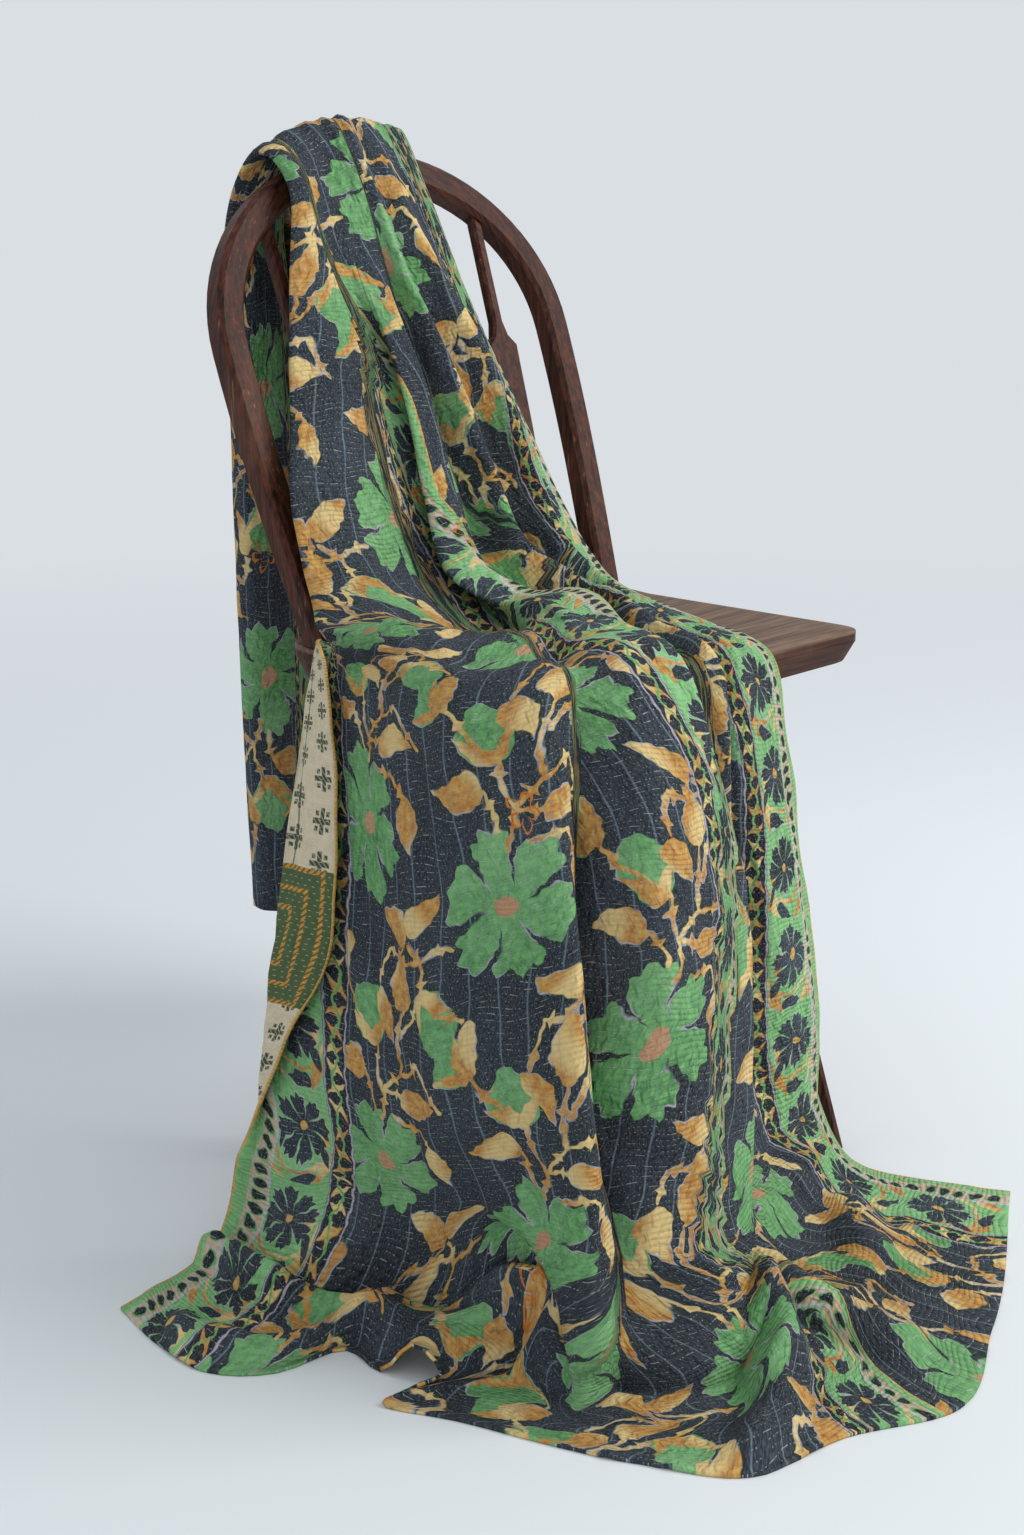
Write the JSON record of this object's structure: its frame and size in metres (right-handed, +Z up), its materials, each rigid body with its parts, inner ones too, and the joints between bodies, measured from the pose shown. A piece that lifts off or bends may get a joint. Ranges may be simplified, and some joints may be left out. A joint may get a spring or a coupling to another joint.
{
  "type": "quilt draped over hoop-back chair",
  "caption": "Stitched floral cotton quilt thrown over the back and seat of a plain hoop-back wooden chair, its front end pooling on the floor.",
  "frame": {"origin": "on the floor, under the middle of the bounding box of the chair and quilt together", "axes": "+Z up; the chair faces -Y, and +X is to the right of someone who stands in front of it and looks at it"},
  "size_m": [0.6208, 0.7624, 0.8291],
  "materials": {
    "printed_cotton": "matt, soft, hand-quilted with white running stitches",
    "dark_wood": "worn satin stain, reddish brown",
    "seat_wood": "matt, worn pale on the upper face"
  },
  "bodies": {
    "root": {"quilt": "printed_cotton", "hoop": "dark_wood", "seat": "seat_wood", "spindle_near_outer": "dark_wood", "spindle_near_inner": "dark_wood", "spindle_far_inner": "dark_wood", "spindle_far_outer": "dark_wood", "leg_front_near": "dark_wood", "leg_front_far": "dark_wood", "leg_back_near": "dark_wood", "leg_back_far": "dark_wood"}
  },
  "joints": []
}
